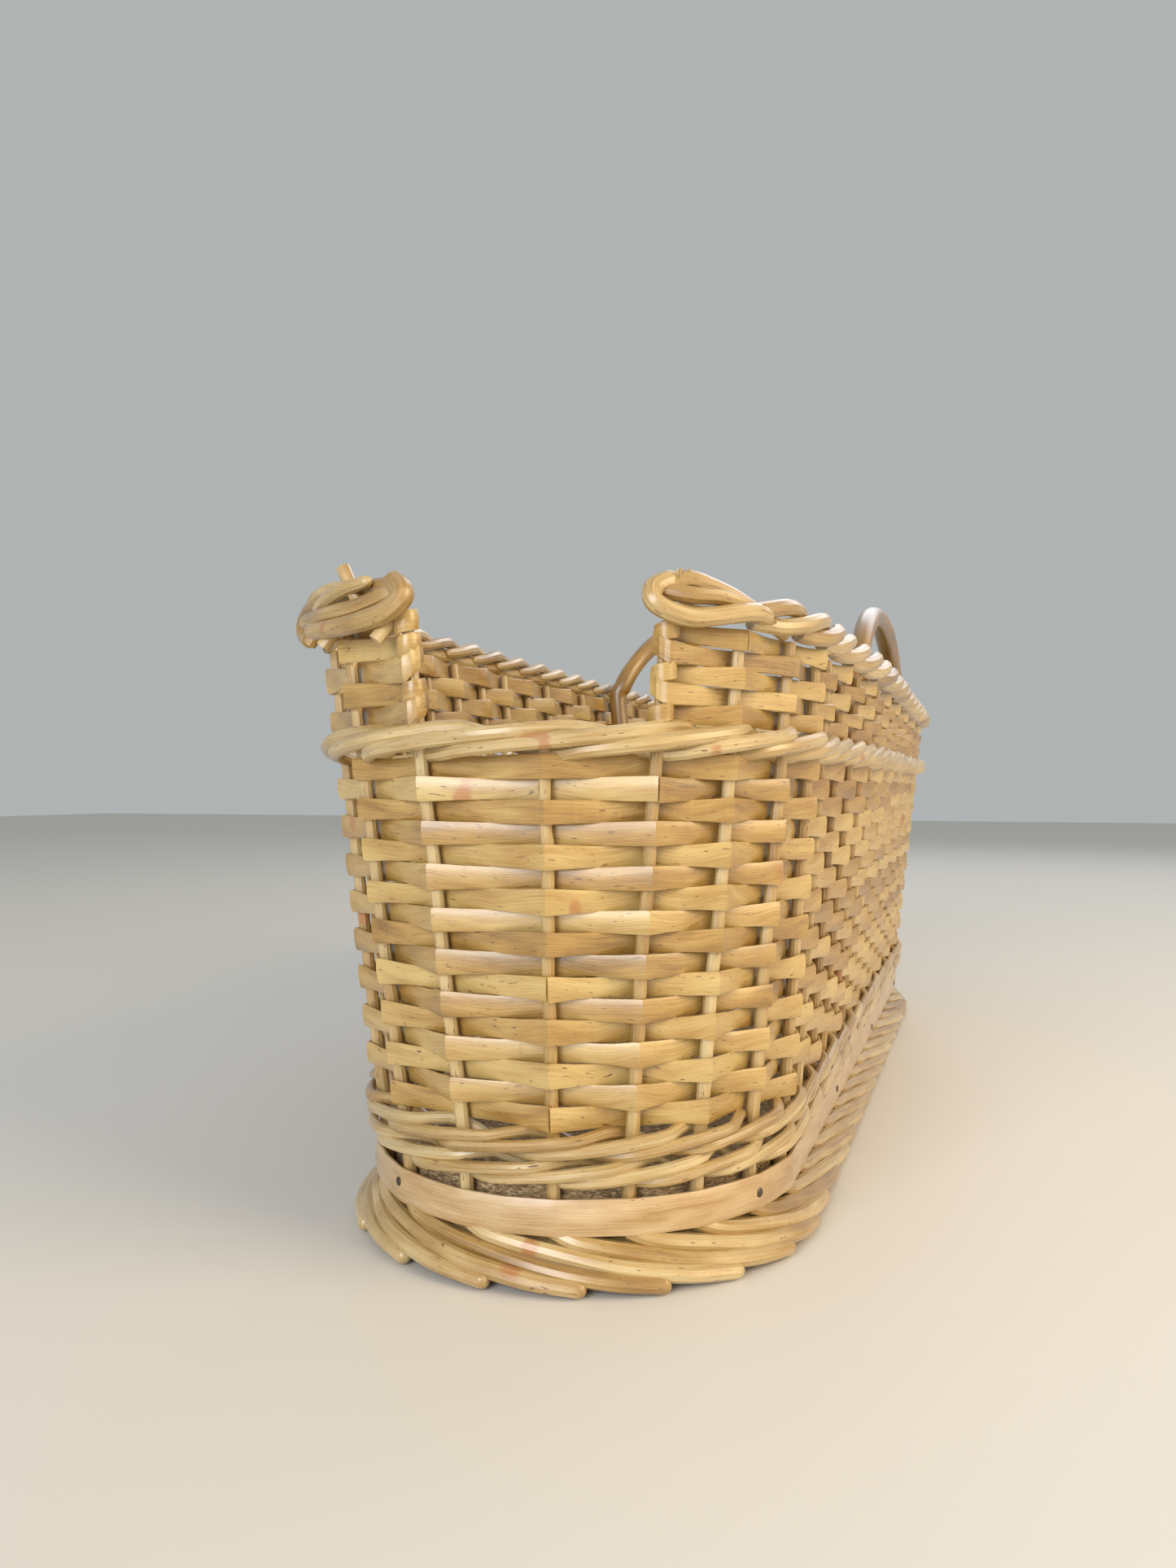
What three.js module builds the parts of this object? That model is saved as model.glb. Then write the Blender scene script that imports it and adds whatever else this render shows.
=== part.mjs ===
// A long willow basket: upright stakes clamped round a chipboard base, filled in with flat split-willow
// weaving, with a dip in one short end, a rolled rim that ends in two horns, and a handle on each long side.
// Millimetres, +Z up. +Y runs along the basket, away from the dip. The origin is under its middle.
import * as THREE from "three";

// Driving dimensions.
const STRAIGHT = 506; // between the centres of the two round ends
const STAKE_RING = 91; // radius of the ring of stake centres about an end's centre, at the base
const WALL_LEAN = 0.11; // how far the wall leans out for each unit of height
const CORNER_LEAN_LOSS = 0.043; // how much less it leans at the corner to the right of the dip
const CORNER_AT = 140; // where that corner is, from the middle of the dip
const CORNER_WIDTH = 95;
const CLEARANCE = 0.3; // between neighbouring pieces

const STAKE_COUNT = 45;
const STAKE_DIAMETER = 5.7;
const STAKE_SIDES = 8;
const FIRST_STAKE = 17.6; // from the middle of the dip
const CLOSE_GAPS = 5; // gaps after that stake, where the stakes stand closer together
const CLOSE_GAP = 28.5;
const HORN_SPREAD = 10; // how far a stake at the edge of the dip leans away from it, at the rim
const SPREAD_STAKES = 8; // stakes over which this lean fades out

const FOOT_HEIGHT = 19.7;
const FOOT_FLARE = 10; // how far the foot spreads outside the band
const FOOT_INSIDE = 7; // how far the foot reaches inside the stake ring

const BOARD_THICKNESS = 18;
const BAND_HEIGHT = 14;
const BAND_THICKNESS = 2.2;

const WALE_DIAMETER = 6.4; // a round of waling at the foot of the wall
const WALE_ROUNDS = 3;
const ROD_SIDES = 6;

const WEAVER_THICKNESS = 1.6;
const ROW_PITCH = 8.3;
const ROWS_BY_WEAVER = [9, 8]; // rows of the lower wall that each length of weaver fills
const ROW_GAP = 0.5; // between one row and the next

const MID_BORDER_HEIGHT = 11.5;
const MID_BORDER_THICKNESS = 6.4;

const RIM_HEIGHT = 267; // the middle value, over the table
const RIM_SIDE_SLOPE = -8; // added on the right side and taken off the left
const RIM_END_SLOPE = -3.5; // added at the far end and taken off at the dip
const RIM_TWIST = -1.5; // added at far right and near left, and taken off the other two corners
const RIM_DEPTH = 15;
const RIM_THICKNESS = 17;
const RIM_OVERHANG = 2.5; // how far the rim's middle stands outside the stakes
const RIM_SIDES = 8;
const UPPER_ROWS = 5;

const FIRST_HORN_STAKE = 1; // the dip's right edge
const LAST_HORN_STAKE = 44; // the dip's left edge
const HORN_REACH = 7; // past the last stake
const HORN_SPAN = 2; // stake gaps that a horn takes up

const HANDLE_SIDES = 10;
const HANDLE_STEPS = 18;
// A handle is a tapering rod: where its middle is along the basket, how long it is between its legs, how
// far it rises over the rim, its thickness at its near and far ends, and how much it leans in as it rises.
const RIGHT_HANDLE = { middle: 70, length: 280, rise: 55, near: 11.5, far: 16, lean: 0 };
const LEFT_HANDLE = { middle: 187, length: 180, rise: 50, near: 13, far: 15, lean: 0.45 };
const HANDLE_SETBACK = 2.5; // from a leg to the inner side of the rim

// Sizes that follow from them.
const STAKE_RADIUS = STAKE_DIAMETER / 2;
const HALF_STRAIGHT = STRAIGHT / 2;
const QUARTER_ARC = (Math.PI / 2) * STAKE_RING;
const PERIMETER = 2 * STRAIGHT + 4 * QUARTER_ARC;
const SPACING = PERIMETER / STAKE_COUNT;
const BASE = FOOT_HEIGHT + CLEARANCE;
const BAND_TOP = BASE + BAND_HEIGHT;
const BOARD_TOP = BASE + BOARD_THICKNESS;
const BAND_INSIDE = STAKE_RING + STAKE_RADIUS + CLEARANCE;
const WALE_PITCH = WALE_DIAMETER + CLEARANCE;
const WALE_BOTTOM = BOARD_TOP + 2;
const ROWS_BOTTOM = WALE_BOTTOM + WALE_ROUNDS * WALE_PITCH + CLEARANCE;
const LOWER_ROWS = ROWS_BY_WEAVER.reduce((sum, rows) => sum + rows, 0);
const MID_BOTTOM = ROWS_BOTTOM + LOWER_ROWS * ROW_PITCH + CLEARANCE;
const MID_MIDDLE = MID_BOTTOM + MID_BORDER_HEIGHT / 2;
const UPPER_BOTTOM = MID_BOTTOM + MID_BORDER_HEIGHT + CLEARANCE;

const BUFF_WILLOW = { color: 0xd9b277, roughness: 0.45, metalness: 0 };
const SPLIT_WILLOW = { color: 0xdcae68, roughness: 0.4, metalness: 0 };
const CHIPBOARD = { color: 0x9a7c58, roughness: 0.9, metalness: 0 };

const basket = new THREE.Group();

function addPiece(name, geometry, finish) {
  const piece = new THREE.Mesh(geometry, new THREE.MeshStandardMaterial(finish));
  piece.name = name;
  basket.add(piece);
}

// A solid swept along stops. Each stop is a place and the two directions that its section spans, with
// first x second pointing along the path. A closed sweep joins its last stop to its first.
function sweep(stops, section, closed = false) {
  const sides = section.length;
  const corners = stops.flatMap((stop) =>
    section.map(([a, b]) => stop.at.clone().addScaledVector(stop.first, a).addScaledVector(stop.second, b)),
  );
  const faces = [];
  const spans = closed ? stops.length : stops.length - 1;
  for (let i = 0; i < spans; i += 1) {
    const here = i * sides;
    const there = ((i + 1) % stops.length) * sides;
    for (let j = 0; j < sides; j += 1) {
      const next = (j + 1) % sides;
      faces.push(here + j, here + next, there + next, here + j, there + next, there + j);
    }
  }
  if (!closed) {
    const end = (stops.length - 1) * sides;
    for (let j = 1; j < sides - 1; j += 1) {
      faces.push(0, j + 1, j, end, end + j, end + j + 1);
    }
  }
  const geometry = new THREE.BufferGeometry().setFromPoints(corners);
  geometry.setIndex(faces);
  geometry.computeVertexNormals();
  return geometry;
}

// A section with its corners on an ellipse that is 1 high and 1 wide either way from its middle.
function roundSection(sides) {
  return Array.from({ length: sides }, (_, j) => {
    const turn = ((j + 0.5) * 2 * Math.PI) / sides;
    return [Math.cos(turn), Math.sin(turn)];
  });
}

const FLAT_SECTION = [
  [-1, -1],
  [1, -1],
  [1, 1],
  [-1, 1],
];

// The plan of the basket: for a distance round the stake ring, anticlockwise from the middle of the dip,
// the outward direction and how far along +Y the centre that it is measured from lies.
function planAt(distance) {
  const run = THREE.MathUtils.euclideanModulo(distance, PERIMETER);
  let turn = run / STAKE_RING;
  let centre = -HALF_STRAIGHT;
  if (run > 3 * QUARTER_ARC + 2 * STRAIGHT) {
    turn = (run - 2 * STRAIGHT) / STAKE_RING;
  } else if (run > 3 * QUARTER_ARC + STRAIGHT) {
    turn = 1.5 * Math.PI;
    centre = HALF_STRAIGHT - (run - 3 * QUARTER_ARC - STRAIGHT);
  } else if (run > QUARTER_ARC + STRAIGHT) {
    turn = (run - STRAIGHT) / STAKE_RING;
    centre = HALF_STRAIGHT;
  } else if (run > QUARTER_ARC) {
    turn = Math.PI / 2;
    centre = run - QUARTER_ARC - HALF_STRAIGHT;
  }
  return { out: new THREE.Vector3(Math.sin(turn), -Math.cos(turn), 0), centre };
}

// How far the wall leans out for each unit of height. It stands steeper at one corner.
function leanAt(distance) {
  const fromCorner = THREE.MathUtils.euclideanModulo(distance, PERIMETER) - CORNER_AT;
  return WALL_LEAN - CORNER_LEAN_LOSS * Math.exp(-((fromCorner / CORNER_WIDTH) ** 2));
}

// A point of the wall, at an offset outside the stakes' middle line.
function wallPoint(distance, height, offset) {
  const { out, centre } = planAt(distance);
  const radius = STAKE_RING + leanAt(distance) * Math.max(0, height - BAND_TOP) + offset;
  return new THREE.Vector3(out.x * radius, centre + out.y * radius, height);
}

// The direction in which the wall rises, leaning out.
function riseAt(distance) {
  return new THREE.Vector3(0, 0, 1).addScaledVector(planAt(distance).out, leanAt(distance)).normalize();
}

// The forward direction of a path at one of its points, from its two neighbours.
function forwardAt(points, i, closed) {
  const last = points.length - 1;
  const before = points[i > 0 ? i - 1 : closed ? last : 0];
  const after = points[i < last ? i + 1 : closed ? 0 : last];
  return after.clone().sub(before).normalize();
}

// Stops along a path round the wall, each with a section that stands up the wall.
function wallStops(steps, closed) {
  const points = steps.map((step) => step.at);
  return steps.map((step, i) => {
    const rise = riseAt(step.distance);
    const face = forwardAt(points, i, closed).cross(rise).normalize();
    return {
      at: step.at,
      first: rise.multiplyScalar(step.halfHeight),
      second: face.multiplyScalar(step.halfThickness),
    };
  });
}

// How high the top of the rim is at a distance round the basket.
function rimTop(distance) {
  const { out, centre } = planAt(distance);
  const side = out.x;
  const end = THREE.MathUtils.clamp((centre + out.y * STAKE_RING) / (HALF_STRAIGHT + STAKE_RING), -1, 1);
  return RIM_HEIGHT + RIM_SIDE_SLOPE * side + RIM_END_SLOPE * end + RIM_TWIST * side * end;
}

// How far round a stake stands at a height. The stakes are evenly spaced, apart from the first few, and
// those beside the dip lean away from it.
function stakeDistance(stake, height) {
  const widerGap = (PERIMETER - CLOSE_GAPS * CLOSE_GAP) / (STAKE_COUNT - CLOSE_GAPS);
  const turns = Math.floor(stake / STAKE_COUNT);
  const index = stake - turns * STAKE_COUNT;
  const close = Math.min(index, CLOSE_GAPS);
  const upright = turns * PERIMETER + FIRST_STAKE + close * CLOSE_GAP + (index - close) * widerGap;
  const share = Math.max(0, height - BAND_TOP) / (RIM_HEIGHT - BAND_TOP);
  const afterDip = index < 1 ? 0 : Math.max(0, 1 - (index - FIRST_HORN_STAKE) / SPREAD_STAKES);
  const beforeDip = Math.max(0, 1 - (LAST_HORN_STAKE - index) / SPREAD_STAKES);
  return upright + HORN_SPREAD * share * (afterDip - beforeDip);
}

// How far the middle of a rod or weaver passes from a stake's centre, so that it clears the stake all the
// way past it, even at the round ends, where it leaves the stake at the steepest angle.
function passingDistance(thickness) {
  const steepest = SPACING / STAKE_RING / 2 + Math.atan((STAKE_DIAMETER + 2 * thickness) / SPACING);
  return (STAKE_RADIUS + CLEARANCE) / Math.cos(steepest) + thickness / 2;
}

// The base board, resting on the foot.
function stadium(radius) {
  const shape = new THREE.Shape();
  shape.absarc(0, -HALF_STRAIGHT, radius, Math.PI, 2 * Math.PI);
  shape.absarc(0, HALF_STRAIGHT, radius, 0, Math.PI);
  return shape;
}

const END_CURVE_STEPS = 24;
const boardShape = stadium(STAKE_RING - STAKE_RADIUS - CLEARANCE);
const board = new THREE.ExtrudeGeometry(boardShape, {
  depth: BOARD_THICKNESS,
  bevelEnabled: false,
  curveSegments: END_CURVE_STEPS,
});
board.translate(0, 0, BASE);
addPiece("base_board", board, CHIPBOARD);

// The band of flat willow that is nailed through the stakes into the board's edge.
const bandShape = stadium(BAND_INSIDE + BAND_THICKNESS);
bandShape.holes.push(stadium(BAND_INSIDE));
const band = new THREE.ExtrudeGeometry(bandShape, {
  depth: BAND_HEIGHT,
  bevelEnabled: false,
  curveSegments: END_CURVE_STEPS,
});
band.translate(0, 0, BASE);
addPiece("base_band", band, SPLIT_WILLOW);

// The foot: the stakes' lower ends, plaited into a ring that flares out under the band and stands flat.
const footOutside = BAND_INSIDE + BAND_THICKNESS + FOOT_FLARE;
const footInside = STAKE_RING - FOOT_INSIDE;
const FOOT_TIP_HEIGHT = 7;
const FOOT_TIP_ROUNDING = 3;
const FOOT_STEPS_PER_STAKE = 2;
const footSection = [
  [0, footInside],
  [FOOT_HEIGHT, footInside],
  [FOOT_HEIGHT, BAND_INSIDE + BAND_THICKNESS],
  [FOOT_TIP_HEIGHT, footOutside],
  [0, footOutside - FOOT_TIP_ROUNDING],
];
const footStops = Array.from({ length: STAKE_COUNT * FOOT_STEPS_PER_STAKE }, (_, i) => {
  const { out, centre } = planAt((i * SPACING) / FOOT_STEPS_PER_STAKE);
  return { at: new THREE.Vector3(0, centre, 0), first: new THREE.Vector3(0, 0, 1), second: out };
});
addPiece("foot_border", sweep(footStops, footSection, true), BUFF_WILLOW);

// The stakes: upright between board and band, then leaning out with the wall. Each stops under the rim,
// except those in the dip, which stop at the middle border.
for (let stake = 0; stake < STAKE_COUNT; stake += 1) {
  const inDip = stake < FIRST_HORN_STAKE || stake > LAST_HORN_STAKE;
  const rim = rimTop(stakeDistance(stake, RIM_HEIGHT));
  const top = inDip ? MID_BOTTOM + MID_BORDER_HEIGHT : rim - RIM_DEPTH - CLEARANCE;
  const stops = [BASE, BAND_TOP, top].map((height) => {
    const { out } = planAt(stakeDistance(stake, height));
    return {
      at: wallPoint(stakeDistance(stake, height), height, 0),
      first: out.clone().multiplyScalar(STAKE_RADIUS),
      second: new THREE.Vector3(0, 0, 1).cross(out).multiplyScalar(STAKE_RADIUS),
    };
  });
  const name = `stake_${String(stake + 1).padStart(2, "0")}`;
  addPiece(name, sweep(stops, roundSection(STAKE_SIDES)), BUFF_WILLOW);
}

// A closed round of thick rod that passes outside two stakes and inside the third.
function rodRound(middle, height, thickness, offset) {
  const passing = passingDistance(thickness);
  const steps = Array.from({ length: STAKE_COUNT }, (_, stake) => {
    const distance = stakeDistance(stake, middle);
    const side = (stake + offset) % 3 === 0 ? -1 : 1;
    return {
      distance,
      at: wallPoint(distance, middle, side * passing),
      halfHeight: height / 2,
      halfThickness: thickness / 2,
    };
  });
  return sweep(wallStops(steps, true), roundSection(ROD_SIDES), true);
}

for (let round = 0; round < WALE_ROUNDS; round += 1) {
  const middle = WALE_BOTTOM + (round + 0.5) * WALE_PITCH;
  addPiece(`bottom_wale_${round + 1}`, rodRound(middle, WALE_DIAMETER, WALE_DIAMETER, round), BUFF_WILLOW);
}

const midBorder = rodRound(MID_MIDDLE, MID_BORDER_HEIGHT, MID_BORDER_THICKNESS, 1);
addPiece("mid_border", midBorder, BUFF_WILLOW);

// The lower wall: flat weavers that go round and round in plain weave, and step up a row at the far end.
// The stakes are odd in number, so a weaver that passes outside a stake in one row passes inside it in
// the next.
const weaverPassing = passingDistance(WEAVER_THICKNESS);
const STEP_UP_STAKE = (STAKE_COUNT + 1) / 2;
let firstRow = 0;
ROWS_BY_WEAVER.forEach((rows, weaver) => {
  const steps = Array.from({ length: rows * STAKE_COUNT }, (_, i) => {
    const step = firstRow * STAKE_COUNT + i;
    const height = ROWS_BOTTOM + ROW_PITCH * (Math.floor(step / STAKE_COUNT) + 0.5);
    const distance = stakeDistance(STEP_UP_STAKE + step, height);
    const side = step % 2 === 0 ? 1 : -1;
    return {
      distance,
      at: wallPoint(distance, height, side * weaverPassing),
      halfHeight: (ROW_PITCH - ROW_GAP) / 2,
      halfThickness: WEAVER_THICKNESS / 2,
    };
  });
  firstRow += rows;
  addPiece(`lower_weaver_${weaver + 1}`, sweep(wallStops(steps, false), FLAT_SECTION), SPLIT_WILLOW);
});

// The upper wall: one weaver that goes round the back from one horn stake to the other, turns round that
// stake and comes back a row higher.
function upperRow(distance, row) {
  const pitch = (rimTop(distance) - RIM_DEPTH - CLEARANCE - UPPER_BOTTOM) / UPPER_ROWS;
  return { middle: UPPER_BOTTOM + (row + 0.5) * pitch, halfHeight: (pitch - ROW_GAP) / 2 };
}

const TURN_STEPS = 4;
const upperStops = [];
for (let row = 0; row < UPPER_ROWS; row += 1) {
  const forward = row % 2 === 0;
  const steps = [];
  for (let stake = FIRST_HORN_STAKE; stake <= LAST_HORN_STAKE; stake += 1) {
    const { middle, halfHeight } = upperRow(stakeDistance(stake, RIM_HEIGHT), row);
    const distance = stakeDistance(stake, middle);
    const side = (stake + row) % 2 === 0 ? 1 : -1;
    const at = wallPoint(distance, middle, side * weaverPassing);
    steps.push({ distance, at, halfHeight, halfThickness: WEAVER_THICKNESS / 2 });
  }
  if (!forward) {
    steps.reverse();
  }
  upperStops.push(...wallStops(steps, false));
  if (row === UPPER_ROWS - 1) {
    break;
  }
  // Round the end stake, from this row's side of it to the next row's.
  const endStake = forward ? LAST_HORN_STAKE : FIRST_HORN_STAKE;
  const startSide = (endStake + row) % 2 === 0 ? 1 : -1;
  const below = upperRow(stakeDistance(endStake, RIM_HEIGHT), row);
  const above = upperRow(stakeDistance(endStake, RIM_HEIGHT), row + 1);
  for (let i = 1; i < TURN_STEPS; i += 1) {
    const share = i / TURN_STEPS;
    const middle = THREE.MathUtils.lerp(below.middle, above.middle, share);
    const distance = stakeDistance(endStake, middle);
    const { out } = planAt(distance);
    const away = new THREE.Vector3(0, 0, 1).cross(out).multiplyScalar(forward ? 1 : -1);
    const turn = share * Math.PI;
    const facing = out.clone().multiplyScalar(startSide * Math.cos(turn));
    facing.addScaledVector(away, Math.sin(turn));
    upperStops.push({
      at: wallPoint(distance, middle, 0).addScaledVector(facing, weaverPassing),
      first: riseAt(distance).multiplyScalar(below.halfHeight),
      second: facing.multiplyScalar((startSide * (forward ? 1 : -1) * WEAVER_THICKNESS) / 2),
    });
  }
}
addPiece("upper_weaver", sweep(upperStops, FLAT_SECTION), SPLIT_WILLOW);

// The rim and its two horns: thick rolls over the stakes' tops. A horn is rounded off at the dip.
function rimRoll(from, to, fullness) {
  const stepCount = Math.max(6, Math.round((to - from) / SPACING));
  const stops = Array.from({ length: stepCount + 1 }, (_, i) => {
    const share = i / stepCount;
    const distance = THREE.MathUtils.lerp(from, to, share);
    const middle = rimTop(distance) - RIM_DEPTH / 2;
    return {
      at: wallPoint(distance, middle, RIM_OVERHANG),
      first: new THREE.Vector3(0, 0, (RIM_DEPTH / 2) * fullness(share)),
      second: planAt(distance).out.multiplyScalar((RIM_THICKNESS / 2) * fullness(share)),
    };
  });
  return sweep(stops, roundSection(RIM_SIDES));
}

const firstHornStart = stakeDistance(FIRST_HORN_STAKE, RIM_HEIGHT) - HORN_REACH;
const firstHornEnd = stakeDistance(FIRST_HORN_STAKE + HORN_SPAN, RIM_HEIGHT);
const lastHornStart = stakeDistance(LAST_HORN_STAKE - HORN_SPAN, RIM_HEIGHT);
const lastHornEnd = stakeDistance(LAST_HORN_STAKE, RIM_HEIGHT) + HORN_REACH;
const rounded = (share) => Math.sqrt(Math.min(1, 0.35 + 2 * share));
const leftRounded = (share) => rounded(1 - share);
addPiece("rim_border", rimRoll(firstHornEnd + CLEARANCE, lastHornStart - CLEARANCE, () => 1), BUFF_WILLOW);
addPiece("right_horn", rimRoll(firstHornStart, firstHornEnd, rounded), BUFF_WILLOW);
addPiece("left_horn", rimRoll(lastHornStart, lastHornEnd, leftRounded), BUFF_WILLOW);

// A handle: a bent rod whose legs go down inside the wall to the middle border, clear of the weaving.
function handle(side, { middle, length, rise, near, far, lean }) {
  const alongSide = side > 0 ? QUARTER_ARC + HALF_STRAIGHT : 3 * QUARTER_ARC + 1.5 * STRAIGHT;
  const middleDistance = alongSide + side * middle;
  const rim = rimTop(middleDistance);
  const archBase = rim - RIM_DEPTH;
  const archHeight = RIM_DEPTH + rise - (near + far) / 4;
  const legBottom = UPPER_BOTTOM + CLEARANCE;
  const arch = Array.from({ length: HANDLE_STEPS + 1 }, (_, i) => {
    const turn = Math.PI * (1 - i / HANDLE_STEPS);
    return [Math.cos(turn), archBase + archHeight * Math.sin(turn)];
  });
  const outline = [[-1, legBottom], ...arch, [1, legBottom]];
  const rods = outline.map(([along, height]) => {
    const distance = middleDistance + (side * along * length) / 2;
    const radius = THREE.MathUtils.lerp(near, far, (along + 1) / 2) / 2;
    const beside = wallPoint(distance, Math.min(height, rim), 0);
    const leanIn = lean * Math.max(0, height - archBase);
    const setback = RIM_THICKNESS / 2 - RIM_OVERHANG + HANDLE_SETBACK + radius + leanIn;
    const at = beside.addScaledVector(planAt(distance).out, -setback).setZ(height);
    return { distance, radius, at };
  });
  const points = rods.map((rod) => rod.at);
  const stops = rods.map((rod, i) => {
    const across = planAt(rod.distance).out;
    return {
      at: rod.at,
      first: across.clone().multiplyScalar(rod.radius),
      second: forwardAt(points, i, false).cross(across).normalize().multiplyScalar(rod.radius),
    };
  });
  return sweep(stops, roundSection(HANDLE_SIDES));
}

addPiece("right_handle", handle(1, RIGHT_HANDLE), BUFF_WILLOW);
addPiece("left_handle", handle(-1, LEFT_HANDLE), BUFF_WILLOW);

export default basket;
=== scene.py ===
import bpy
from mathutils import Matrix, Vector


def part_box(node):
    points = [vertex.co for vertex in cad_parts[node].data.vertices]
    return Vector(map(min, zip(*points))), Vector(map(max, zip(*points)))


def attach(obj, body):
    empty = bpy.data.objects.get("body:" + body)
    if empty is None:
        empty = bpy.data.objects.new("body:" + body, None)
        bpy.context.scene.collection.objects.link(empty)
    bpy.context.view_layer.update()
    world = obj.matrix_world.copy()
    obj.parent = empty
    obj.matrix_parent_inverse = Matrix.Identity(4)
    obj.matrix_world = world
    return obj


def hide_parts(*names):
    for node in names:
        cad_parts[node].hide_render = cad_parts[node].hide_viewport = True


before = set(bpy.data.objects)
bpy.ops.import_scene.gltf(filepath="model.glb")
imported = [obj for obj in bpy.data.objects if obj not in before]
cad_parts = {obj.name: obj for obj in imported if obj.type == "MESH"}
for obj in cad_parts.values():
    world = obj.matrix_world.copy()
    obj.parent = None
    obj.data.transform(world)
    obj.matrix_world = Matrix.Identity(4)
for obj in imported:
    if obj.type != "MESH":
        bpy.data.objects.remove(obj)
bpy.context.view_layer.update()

import bpy
import math
import random
from mathutils import Vector

# ---------------------------------------------------------------------------------------------------
# The base board: a piece of 18 mm chipboard with two round ends, sawn and left raw. It is speckled with
# wood flakes, and its edge shows between the band and the first round of weaving. It rests on the foot.
# ---------------------------------------------------------------------------------------------------
MM = 0.001  # everything below is worked out in millimetres, and turned to metres in the mesh
CLEARANCE = 0.3

board_low, board_high = (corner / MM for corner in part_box("base_board"))
BOARD_RADIUS = board_high.x
HALF_STRAIGHT = board_high.y - BOARD_RADIUS
BOARD_TOP = board_high.z
BOARD_EDGE_ROUNDING = 0.8


def linear(hex_colour):
    """An sRGB hex colour as the linear colour that a shader takes."""
    parts = [int(hex_colour[i:i + 2], 16) / 255 for i in (1, 3, 5)]
    return [p / 12.92 if p <= 0.04045 else ((p + 0.055) / 1.055) ** 2.4 for p in parts] + [1.0]


def node(tree, kind, settings=None, **inputs):
    """Adds a shader node, with its settings, and with each input set to a value or linked to a socket."""
    made = tree.nodes.new("ShaderNode" + kind)
    for name, value in (settings or {}).items():
        setattr(made, name, value)
    for name, value in inputs.items():
        key = int(name[1:]) if name[0] == "i" and name[1:].isdigit() else name.replace("_", " ")
        if isinstance(value, bpy.types.NodeSocket):
            tree.links.new(value, made.inputs[key])
        else:
            made.inputs[key].default_value = value
    return made


def new_material(name):
    material = bpy.data.materials.new(name)
    material.use_nodes = True
    material.node_tree.nodes.clear()
    return material, material.node_tree


def ramp(tree, factor, stops):
    """A colour ramp with its stops given as (position, hex colour or grey level)."""
    made = node(tree, "ValToRGB", Fac=factor)
    elements = made.color_ramp.elements
    for i, (position, colour) in enumerate(stops):
        element = elements[i] if i < 2 else elements.new(position)
        element.position = position
        element.color = linear(colour) if isinstance(colour, str) else [colour] * 3 + [1.0]
    return made.outputs["Color"]


def bundle():
    """Closed bodies that will make one piece, with a strand coordinate for the grain at each corner."""
    return {"points": [], "faces": [], "strand": []}


def finish_piece(name, bodies, material, nodes=(), smooth_angle=35):
    """Makes the piece of a bundle, which stands for its CAD nodes and rides on the basket."""
    mesh = bpy.data.meshes.new(name)
    mesh.from_pydata([p * MM for p in bodies["points"]], [], bodies["faces"])
    strand = mesh.attributes.new("strand", "FLOAT_VECTOR", "POINT")
    strand.data.foreach_set("vector", [value for triple in bodies["strand"] for value in triple])
    mesh.validate()
    mesh.shade_smooth()
    mesh.set_sharp_from_angle(angle=math.radians(smooth_angle))
    mesh.materials.append(material)
    piece = bpy.data.objects.new(name, mesh)
    bpy.context.scene.collection.objects.link(piece)
    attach(piece, "root")
    if nodes:
        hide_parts(*nodes)
    return piece


def sweep(bodies, stops, section, tone, closed=False):
    """Adds a body swept along stops. Each stop is a place and the two directions that the section spans,
    with first x second pointing along the path."""
    start = len(bodies["points"])
    sides = len(section)
    along = 0.0
    for i, (place, first, second) in enumerate(stops):
        along += (place - stops[i - 1][0]).length if i else 0.0
        around = 0.0
        for j, (a, b) in enumerate(section):
            before = section[j - 1]
            around += math.hypot((a - before[0]) * first.length, (b - before[1]) * second.length)
            bodies["points"].append(place + first * a + second * b)
            bodies["strand"].append((along, around, tone))
    for i in range(len(stops) if closed else len(stops) - 1):
        here = start + i * sides
        there = start + (i + 1) % len(stops) * sides
        for j in range(sides):
            k = (j + 1) % sides
            bodies["faces"].append((here + j, here + k, there + k, there + j))
    if not closed:
        last = start + (len(stops) - 1) * sides
        bodies["faces"].append(tuple(start + j for j in reversed(range(sides))))
        bodies["faces"].append(tuple(last + j for j in range(sides)))


def circle(sides):
    turns = [(j + 0.5) * 2 * math.pi / sides for j in range(sides)]
    return [(math.cos(turn), math.sin(turn)) for turn in turns]


def stadium(radius, height, steps=28):
    """Points of the basket's plan outline at a radius about the two end centres."""
    points = []
    for centre, start in ((-HALF_STRAIGHT, math.pi), (HALF_STRAIGHT, 0)):
        for i in range(steps + 1):
            turn = start + math.pi * i / steps
            points.append(Vector((radius * math.cos(turn), centre + radius * math.sin(turn), height)))
    return points


def chipboard():
    """Raw chipboard: pressed flakes, matt, brown-grey, with pale and dark chips 1 to 3 mm long."""
    material, tree = new_material("raw_chipboard")
    place = node(tree, "NewGeometry").outputs["Position"]
    flattened = node(tree, "Mapping", None, Vector=place, Scale=(1, 1, 3)).outputs["Vector"]
    chips = node(tree, "TexVoronoi", None, Vector=flattened, Scale=620).outputs["Color"]
    chip_tone = node(tree, "SeparateColor", None, Color=chips).outputs["Red"]
    colour = ramp(tree, chip_tone, [(0, "#6B5438"), (1, "#C9B18A"), (0.35, "#8C7250"), (0.75, "#A68C64")])
    grit = node(tree, "TexNoise", None, Vector=place, Scale=1500, Detail=3).outputs["Fac"]
    bump = node(tree, "Bump", None, Strength=0.6, Distance=0.0004, Height=grit).outputs["Normal"]
    shader = node(tree, "BsdfPrincipled", None, Base_Color=colour, Roughness=0.85, Normal=bump)
    node(tree, "OutputMaterial", None, Surface=shader.outputs[0])
    return material


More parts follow.
